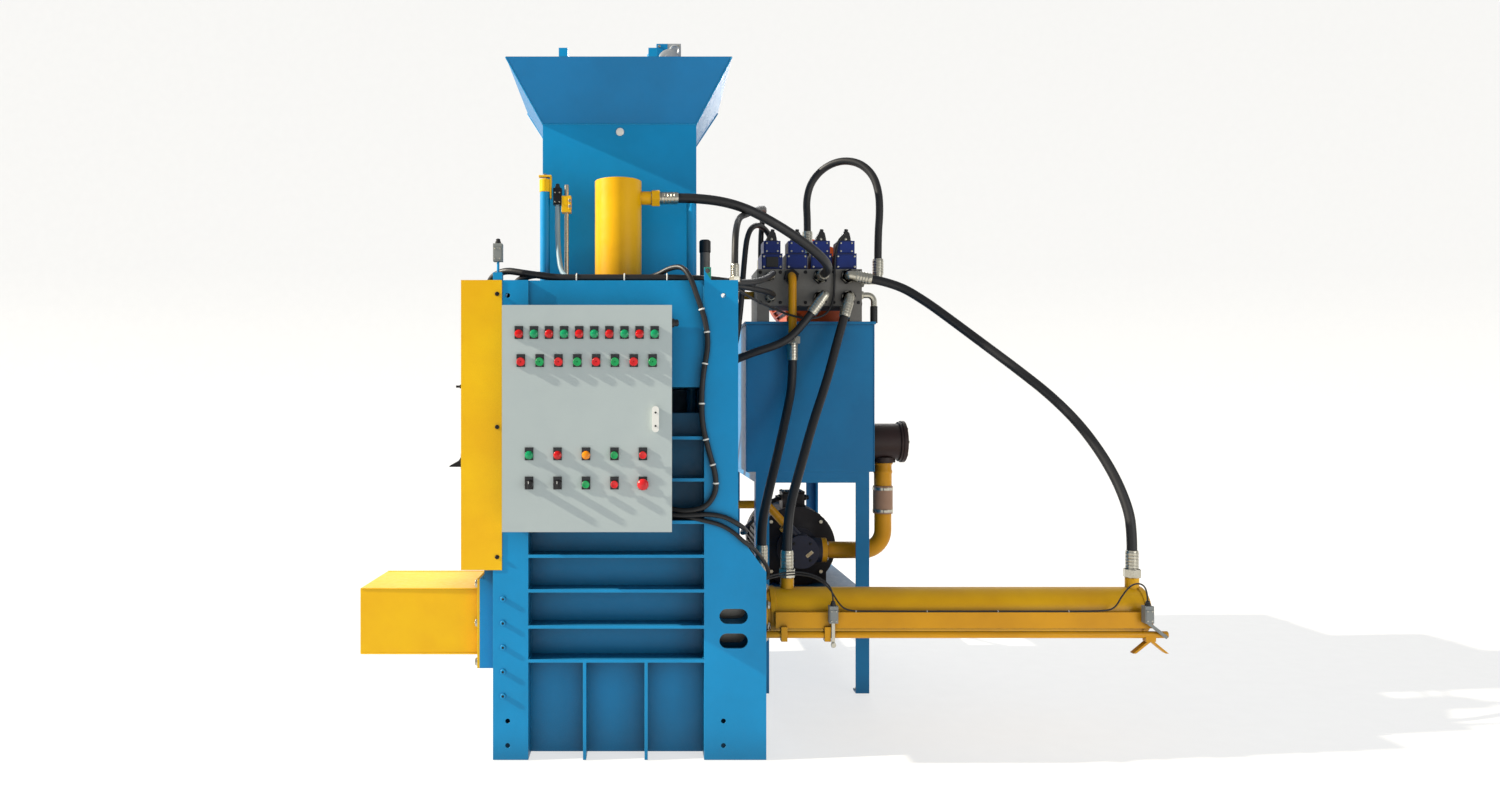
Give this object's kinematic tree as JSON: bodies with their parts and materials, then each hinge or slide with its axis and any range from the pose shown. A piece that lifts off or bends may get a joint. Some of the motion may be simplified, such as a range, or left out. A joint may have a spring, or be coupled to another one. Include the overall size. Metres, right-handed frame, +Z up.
{
  "type": "wood shaving baling press",
  "caption": "Hydraulic press that bales wood shavings: rear chute with hopper, vertical ram, side ejector, gated outlet, control box and oil tank with hoses.",
  "frame": {"origin": "on the floor, under the press ram and on the middle plane of the bale channel", "axes": "+Z up, +X towards the eject cylinder, +Y away from the control box"},
  "size_m": [3.14, 2.5605, 2.889],
  "materials": {
    "frame_blue": "semi-gloss enamel",
    "cover_yellow": "semi-gloss enamel",
    "tank_blue": "satin enamel",
    "valve_blue": "satin enamel",
    "box_grey": "fine texture powder coat",
    "motor_orange": "semi-gloss enamel",
    "motor_dark": "satin enamel",
    "block_grey": "phosphated",
    "rod_chrome": "ground and plated",
    "steel": "plain",
    "zinc": "zinc plated",
    "hose_rubber": "matt",
    "sleeve_rubber": "matt",
    "switch_plastic": "matt",
    "bezel_black": "matt",
    "lamp_lens": "clear coloured lens",
    "cap_green": "gloss",
    "cap_red": "gloss",
    "knob_black": "gloss",
    "handle_white": "satin"
  },
  "bodies": {
    "frame": {"left_column": "frame_blue", "right_column": "frame_blue", "front_wall": "frame_blue", "rear_wall": "frame_blue", "chamber_liner": "frame_blue", "head_box": "frame_blue", "feed_chute": "frame_blue", "feed_hopper": "frame_blue", "agitator_bars": "frame_blue", "agitator_gearmotor": "steel", "press_cylinder": "cover_yellow", "ejector_cylinder": "cover_yellow", "gate_cylinder": "cover_yellow", "feed_cylinder": "cover_yellow", "switch_rail": "frame_blue", "limit_switches": "switch_plastic", "switch_stand": "steel", "outlet_duct": "cover_yellow", "gate_guard": "cover_yellow", "flange_bolts": "steel", "control_box": "box_grey", "control_gear": "switch_plastic", "oil_tank": "tank_blue", "tank_stand": "tank_blue", "suction_filter": "motor_dark", "oil_pipes": "cover_yellow", "suction_sleeve": "sleeve_rubber", "hydraulic_pumps": "valve_blue", "pump_motor": "motor_dark", "upper_motor": "motor_orange", "valve_manifold": "block_grey", "solenoid_valves": "valve_blue", "hose_fittings": "zinc", "press_hose": "hose_rubber", "loop_hose": "hose_rubber", "eject_cap_hose": "hose_rubber", "eject_rod_hose": "hose_rubber", "feed_hose": "hose_rubber", "pusher_hose": "hose_rubber", "gate_hose": "hose_rubber", "feed_return_hose": "hose_rubber", "hose_bundle": "hose_rubber"},
    "ejector": {"ejector_ram": "rod_chrome", "trip_rod": "steel"},
    "press_ram": {"press_platen": "steel", "ram_rods": "rod_chrome"},
    "gate": {"gate_plate": "steel"},
    "pusher": {"feed_pusher": "steel"},
    "agitator": {"agitator_shaft": "steel"},
    "door": {"box_door": "box_grey", "control_bezels": "bezel_black", "pilot_lamps": "lamp_lens"},
    "handle": {"door_handle": "handle_white"},
    "stop_button": {"e_stop": "cap_red"},
    "left_selector": {"selector_left": "knob_black"},
    "right_selector": {"selector_right": "knob_black"},
    "upper_green": {"green_button_upper": "cap_green"},
    "upper_red": {"red_button_upper": "cap_red"},
    "lower_green": {"green_button_lower": "cap_green"},
    "lower_red": {"red_button_lower": "cap_red"}
  },
  "joints": [
    {"name": "eject_slide", "type": "slide", "parent": "frame", "child": "ejector", "axis": [-1, 0, 0], "range_m": [0, 1.15]},
    {"name": "gate_lift", "type": "slide", "parent": "frame", "child": "gate", "axis": [0, 0, 1], "range_m": [0, 0.37]},
    {"name": "press_slide", "type": "slide", "parent": "frame", "child": "press_ram", "axis": [0, 0, -1], "range_m": [0, 0.3]},
    {"name": "feed_slide", "type": "slide", "parent": "frame", "child": "pusher", "axis": [0, -1, 0], "range_m": [0, 0.489]},
    {"name": "agitator_spin", "type": "hinge", "parent": "frame", "child": "agitator", "pos_m": [-0.04, 0.34, 2.715], "axis": [1, 0, 0], "continuous": true},
    {"name": "door_swing", "type": "hinge", "parent": "frame", "child": "door", "pos_m": [-0.398, -0.49, 1.275], "axis": [0, 0, -1], "range_deg": [0, 110]},
    {"name": "handle_turn", "type": "hinge", "parent": "door", "child": "handle", "pos_m": [0.144, -0.51, 1.273], "axis": [0, 1, 0], "range_deg": [0, 90]},
    {"name": "upper_green_press", "type": "slide", "parent": "door", "child": "upper_green", "axis": [0, 1, 0], "range_m": [0, 0.005], "stiffness_N_per_m": 400},
    {"name": "upper_red_press", "type": "slide", "parent": "door", "child": "upper_red", "axis": [0, 1, 0], "range_m": [0, 0.005], "stiffness_N_per_m": 400},
    {"name": "lower_green_press", "type": "slide", "parent": "door", "child": "lower_green", "axis": [0, 1, 0], "range_m": [0, 0.005], "stiffness_N_per_m": 400},
    {"name": "lower_red_press", "type": "slide", "parent": "door", "child": "lower_red", "axis": [0, 1, 0], "range_m": [0, 0.005], "stiffness_N_per_m": 400},
    {"name": "stop_button_press", "type": "slide", "parent": "door", "child": "stop_button", "axis": [0, 1, 0], "range_m": [0, 0.006], "stiffness_N_per_m": 400},
    {"name": "left_selector_turn", "type": "hinge", "parent": "door", "child": "left_selector", "pos_m": [-0.302, -0.52, 1.043], "axis": [0, 1, 0], "range_deg": [-45, 45]},
    {"name": "right_selector_turn", "type": "hinge", "parent": "door", "child": "right_selector", "pos_m": [-0.2016, -0.52, 1.043], "axis": [0, 1, 0], "range_deg": [-45, 45]}
  ],
  "couplings": [
    {"joint": "gate_lift", "follows": "eject_slide", "ratio": 0.32}
  ]
}
